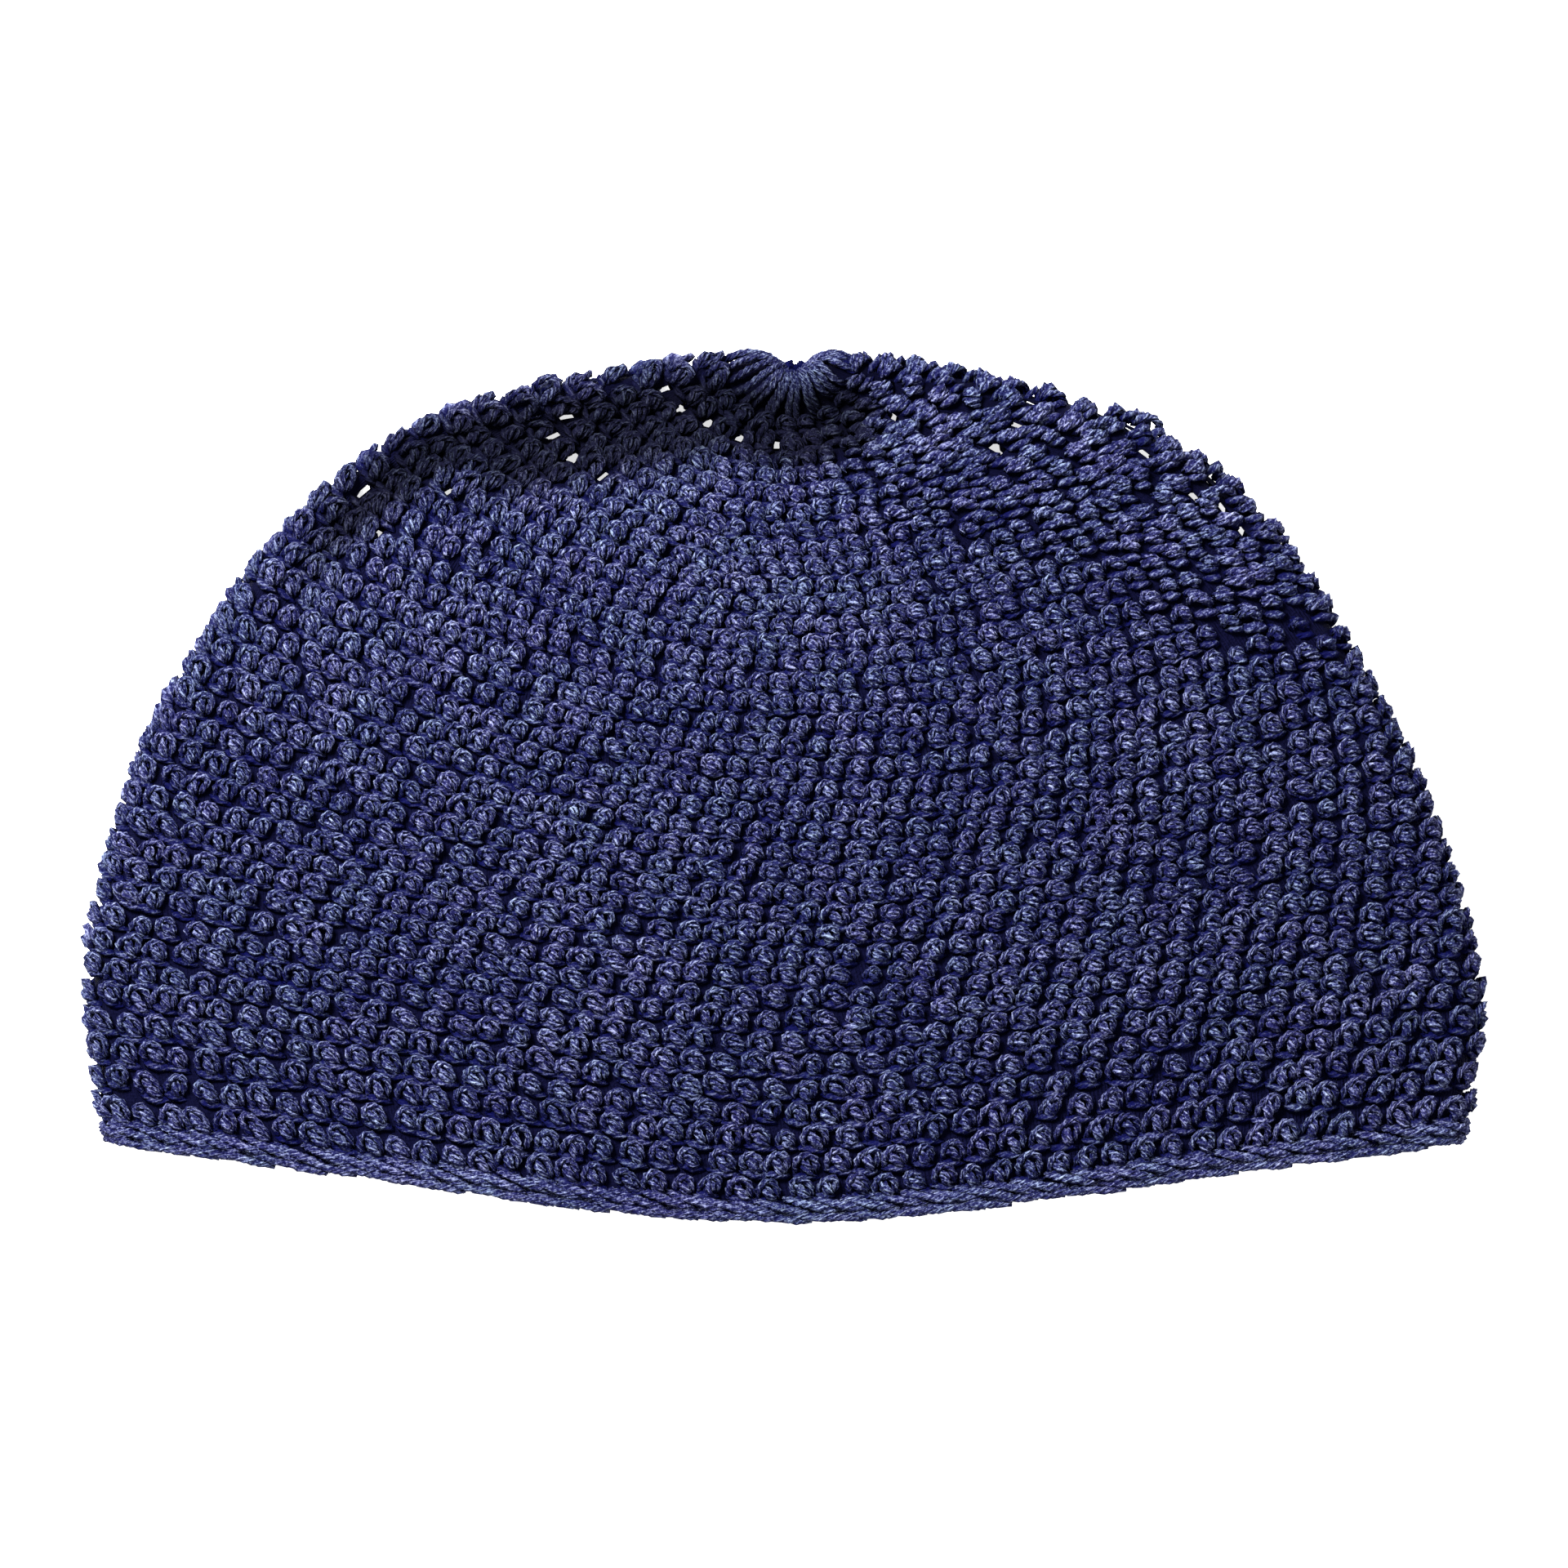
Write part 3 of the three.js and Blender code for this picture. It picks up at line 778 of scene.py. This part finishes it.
def open_cells(vertices, index, rounds):
    """The faces of the stitches' backs, with a passage through both faces of both layers at each gap. The
    first `rounds` rows of vertices are the outer face, the others the inner one. Moves vertices towards each
    passage."""
    columns = index.shape[1]
    there = np.roll(index, -1, axis=0)
    cells = np.stack([index, there, np.roll(there, -1, axis=1), np.roll(index, -1, axis=1)], axis=-1)
    kept = np.ones(index.shape, dtype=bool)
    is_outer = np.arange(len(vertices)) < rounds * columns
    walls = []
    for gap in GAPS:
        for layer in (slice(0, columns // 2), slice(columns // 2, columns)):
            edges = []
            width = 0
            for face, turned in ((slice(0, rounds - 1), False), (slice(rounds, 2 * rounds - 1), True)):
                row, column = nearest_cell(gap, vertices, cells, face, layer)
                if not width:
                    cell = vertices[cells[row, column]]
                    wanted = 2 * gap["radius"] + PASSAGE_MARGIN
                    width = max(1, round(wanted / np.linalg.norm(cell[3] - cell[0])))
                column -= width // 2
                kept[row, np.arange(column, column + width) % columns] = False
                edge = block_edge(index, row, column, width, turned)
                draw_to_gap(gap, vertices, edge, is_outer != turned)
                edges.append(edge)
            outer, inner = edges
            walls.append(np.stack([outer, np.roll(outer, -1), np.roll(inner, -1), inner], axis=-1))
    return np.concatenate([cells[kept], *walls])


def make_backs(material):
    """The stitches' backs: the wall's inner face, with a low bump for each, and a face under the stitches"""
    columns = MOST_STITCHES * BACK_COLUMNS
    rounds = np.arange(BACK_START, BACK_END, 1 / BACK_ROWS)
    turn = np.arange(columns) / columns
    r, u = np.meshgrid(rounds, turn, indexing="ij")
    # Each round's bumps lie half a stitch on from the last one's
    bump = 0.5 + 0.5 * np.cos(2 * math.pi * (u * MOST_STITCHES + 0.5 * np.floor(r)))
    bar = np.abs(np.sin(math.pi * r))
    thin = np.clip(r / BUTTON_ROUNDS, BACK_THINNEST, 1)
    inner = -thin * (BACK_INNER + BACK_BAR * bar + BACK_BUMP * bump * bar)
    outer = -thin * BACK_OUTER
    outer_places, _, pressed_in = WALL_SURFACE.at(r, u, outer)
    rings = np.concatenate([outer_places, WALL_SURFACE.at(r, u, inner)[0][::-1]])
    rings[..., 2] = np.maximum(rings[..., 2], FLOOR_CLEARANCE)
    # Painted shade: the outer face, seen only between stitches, fully shaded and near black; the inner face
    # partly shaded
    shades = np.concatenate([np.ones_like(outer), np.full_like(inner, BACK_INNER_PAINTED_SHADE)])
    dark = np.maximum(ramp_up(pressed_in, *BACKS_HOLLOW_SHADE), BACK_LEAST_HOLLOW_SHADE)
    hollows = np.concatenate([dark, np.zeros_like(inner)])
    rows = len(rings)
    index = np.arange(rows * columns).reshape(rows, columns)
    vertices = rings.reshape(-1, 3)
    quads = open_cells(vertices, index, len(rounds))
    around, along = BACK_YARN
    uvs = np.stack([np.tile(turn, rows) * around, np.repeat(np.arange(rows), columns) * along], axis=-1)
    return make_piece(
        "stitch_backs", vertices, quads.ravel(), np.full(len(quads), 4), uvs[quads.ravel()], material,
        tone=np.zeros(len(vertices)), shade=shades.ravel(), hollow=hollows.ravel(),
    )


class Shading:
    """A material's nodes, made and linked in short calls that give back an output"""

    def __init__(self, material):
        self.nodes = material.node_tree.nodes
        self.links = material.node_tree.links

    def node(self, kind, **values):
        made = self.nodes.new(kind)
        for name, value in values.items():
            setattr(made, name, value)
        return made

    def feed(self, socket, value):
        """Sets a socket to a number or a colour, or links it to an output"""
        if isinstance(value, (int, float, tuple)):
            socket.default_value = value
        else:
            self.links.new(value, socket)

    def math(self, operation, *values):
        made = self.node("ShaderNodeMath", operation=operation)
        for socket, value in zip(made.inputs, values):
            self.feed(socket, value)
        return made.outputs[0]

    def total(self, *shares_and_values):
        """The sum of values, each times its share"""
        parts = [self.math("MULTIPLY", value, share) for share, value in shares_and_values]
        result = parts[0]
        for part in parts[1:]:
            result = self.math("ADD", result, part)
        return result

    def noise(self, place, scale, detail, low, high):
        """Noise, with its values from low to high spread from 0 to 1"""
        made = self.node("ShaderNodeTexNoise")
        self.feed(made.inputs["Vector"], place)
        self.feed(made.inputs["Scale"], scale)
        self.feed(made.inputs["Detail"], detail)
        spread = self.node("ShaderNodeMapRange")
        self.feed(spread.inputs["Value"], made.outputs["Fac"])
        self.feed(spread.inputs["From Min"], low)
        self.feed(spread.inputs["From Max"], high)
        return spread.outputs["Result"]

    def ramp(self, value, stops):
        """A colour by value, from stops that are each a position and a colour"""
        made = self.node("ShaderNodeValToRGB")
        self.feed(made.inputs[0], value)
        elements = made.color_ramp.elements
        for element, (position, colour) in zip(elements, (stops[0], stops[-1])):
            element.position = position
            element.color = colour
        for position, colour in stops[1:-1]:
            elements.new(position).color = colour
        return made.outputs[0]

    def mix(self, share, one, other, blend="MIX"):
        """One colour with a share of another mixed in"""
        made = self.node("ShaderNodeMix", data_type="RGBA", blend_type=blend)
        self.feed(made.inputs["Factor"], share)
        self.feed(made.inputs["A"], one)
        self.feed(made.inputs["B"], other)
        return made.outputs["Result"]

    def attribute(self, name):
        return self.node("ShaderNodeAttribute", attribute_name=name).outputs["Fac"]


def yarn_colour(shading, place, fibres, ply, fuzz):
    """Colour by the fibres, the plies and the fuzz, by stitches and patches, with painted shade in the
    grooves between plies, painted highlights on flecks, and painted shade by how deep the yarn lies and where
    the cap is pressed in
    """
    tone = shading.attribute("tone")
    patches = shading.noise(place, **PATCHES)
    # The plies' share paints shade into the grooves between plies
    light = shading.total((0.42, fibres), (0.1, ply), (0.33, fuzz), (0.08, tone), (0.07, patches))
    tint = shading.mix(shading.noise(place, **TINTS), VIOLET_TINT, GREEN_TINT)
    colour = shading.mix(1, shading.ramp(light, YARN_COLOURS), tint, "MULTIPLY")
    # Painted highlights on flecks of the yarn
    painted_highlights = shading.math("MULTIPLY", shading.noise(place, **HIGHLIGHT_FLECKS), PAINTED_HIGHLIGHT_STRENGTH)
    colour = shading.mix(painted_highlights, colour, PAINTED_HIGHLIGHT_COLOUR)
    # Painted shade: yarn is painted darker the deeper it lies in the cloth
    colour = shading.mix(shading.attribute("shade"), colour, PAINTED_SHADE_COLOUR)
    # Painted shade, near black, where the cap is pressed in
    hollow_shade = shading.math("MULTIPLY", shading.attribute("hollow"), PAINTED_HOLLOW_SHADE_STRENGTH)
    return shading.mix(hollow_shade, colour, PAINTED_HOLLOW_SHADE_COLOUR)


def yarn_material():
    """Matt navy yarn of fine fibres that catch the light, with painted highlights on flecks, and painted
    shade where it lies deep in the cloth and where the cap is pressed in
    """
    material = bpy.data.materials.new("navy yarn")
    material.use_nodes = True
    shading = Shading(material)
    shader = shading.nodes["Principled BSDF"]
    shader.inputs["Roughness"].default_value = 0.8
    shader.inputs["Specular IOR Level"].default_value = 0.02

    split = shading.node("ShaderNodeSeparateXYZ")
    shading.feed(split.inputs[0], shading.node("ShaderNodeUVMap", uv_map="yarn").outputs[0])
    turn, run = split.outputs[0], split.outputs[1]
    # Along a ply the turn and the run change together
    twisted = shading.math("SUBTRACT", turn, shading.math("DIVIDE", run, PLY_PITCH))
    wave = shading.math("SINE", shading.math("MULTIPLY", twisted, math.pi * PLIES))
    ply = shading.math("ABSOLUTE", wave)
    fibre_place = shading.node("ShaderNodeCombineXYZ")
    shading.feed(fibre_place.inputs[0], shading.math("MULTIPLY", twisted, FIBRES_ROUND))
    shading.feed(fibre_place.inputs[1], shading.math("MULTIPLY", run, FIBRES_ALONG))
    fibres = shading.noise(fibre_place.outputs[0], **FIBRES)
    place = shading.node("ShaderNodeTexCoord").outputs["Object"]
    fuzz = shading.noise(place, **FUZZ)
    shading.feed(shader.inputs["Base Color"], yarn_colour(shading, place, fibres, ply, fuzz))

    bump = shading.node("ShaderNodeBump")
    bump.inputs["Strength"].default_value = 0.9
    bump.inputs["Distance"].default_value = 0.5 * MM
    shading.feed(bump.inputs["Height"], shading.total((0.5, ply), (0.5, fibres), (0.35, fuzz)))
    shading.feed(shader.inputs["Normal"], bump.outputs[0])
    return material


def floor_material():
    material = bpy.data.materials.new("pale floor")
    material.use_nodes = True
    shader = material.node_tree.nodes["Principled BSDF"]
    shader.inputs["Base Color"].default_value = (0.9, 0.9, 0.9, 1)
    shader.inputs["Roughness"].default_value = 0.9
    shader.inputs["Emission Color"].default_value = (1, 1, 1, 1)
    shader.inputs["Emission Strength"].default_value = 0.7
    return material


def make_floor():
    """A plain square floor, its size in metres"""
    mesh = bpy.data.meshes.new("floor")
    reach = 4.0
    corners = [(-reach, -reach, 0), (reach, -reach, 0), (reach, reach, 0), (-reach, reach, 0)]
    mesh.from_pydata(corners, [], [(0, 1, 2, 3)])
    mesh.materials.append(floor_material())
    floor = bpy.data.objects.new("floor", mesh)
    bpy.context.collection.objects.link(floor)


def make_camera():
    """Straight above the cap, with the crown at the top of the picture"""
    camera = bpy.data.cameras.new("camera")
    seen = PHOTO_PIXELS / CAP_PIXELS * FLAT_WIDTH
    camera.sensor_width = 36
    camera.lens = camera.sensor_width * (CAMERA_HEIGHT - FOLD_HEIGHT) / seen
    camera.clip_end = 20
    made = bpy.data.objects.new("camera", camera)
    made.location = (0, 0, CAMERA_HEIGHT * MM)
    bpy.context.collection.objects.link(made)
    bpy.context.scene.camera = made


def make_light(name, place, size, power):
    """A round lamp that shines on the cap. place and size are in metres, power in watts."""
    light = bpy.data.lights.new(name, "AREA")
    light.shape = "DISK"
    light.size = size
    light.energy = power
    made = bpy.data.objects.new(name, light)
    made.location = place
    direction = -made.location
    made.rotation_euler = direction.to_track_quat("-Z", "Y").to_euler()
    bpy.context.collection.objects.link(made)


def make_surroundings():
    world = bpy.data.worlds.new("studio")
    world.use_nodes = True
    background = world.node_tree.nodes["Background"]
    background.inputs["Color"].default_value = (1, 1, 1, 1)
    background.inputs["Strength"].default_value = 1.2
    bpy.context.scene.world = world
    make_light("key", place=(-0.55, 0.7, 1.1), size=0.5, power=95)
    bpy.context.scene.view_settings.view_transform = "Standard"


# First and last round of each piece, which keep each one under the most triangles a piece may have
ROUND_BANDS = ((1, 12), (13, 19), (20, 25), (26, 31), (32, WALL_ROUNDS))

make_camera()
make_surroundings()
make_floor()
yarn_look = yarn_material()
bands = [make_rounds(first, last, yarn_look) for first, last in ROUND_BANDS]
backs = make_backs(yarn_look)
for piece in [*bands, backs]:
    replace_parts(piece, "crocheted_wall")
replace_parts(make_button(yarn_look), "crown_button")
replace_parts(make_edging(yarn_look), "rim_edging")
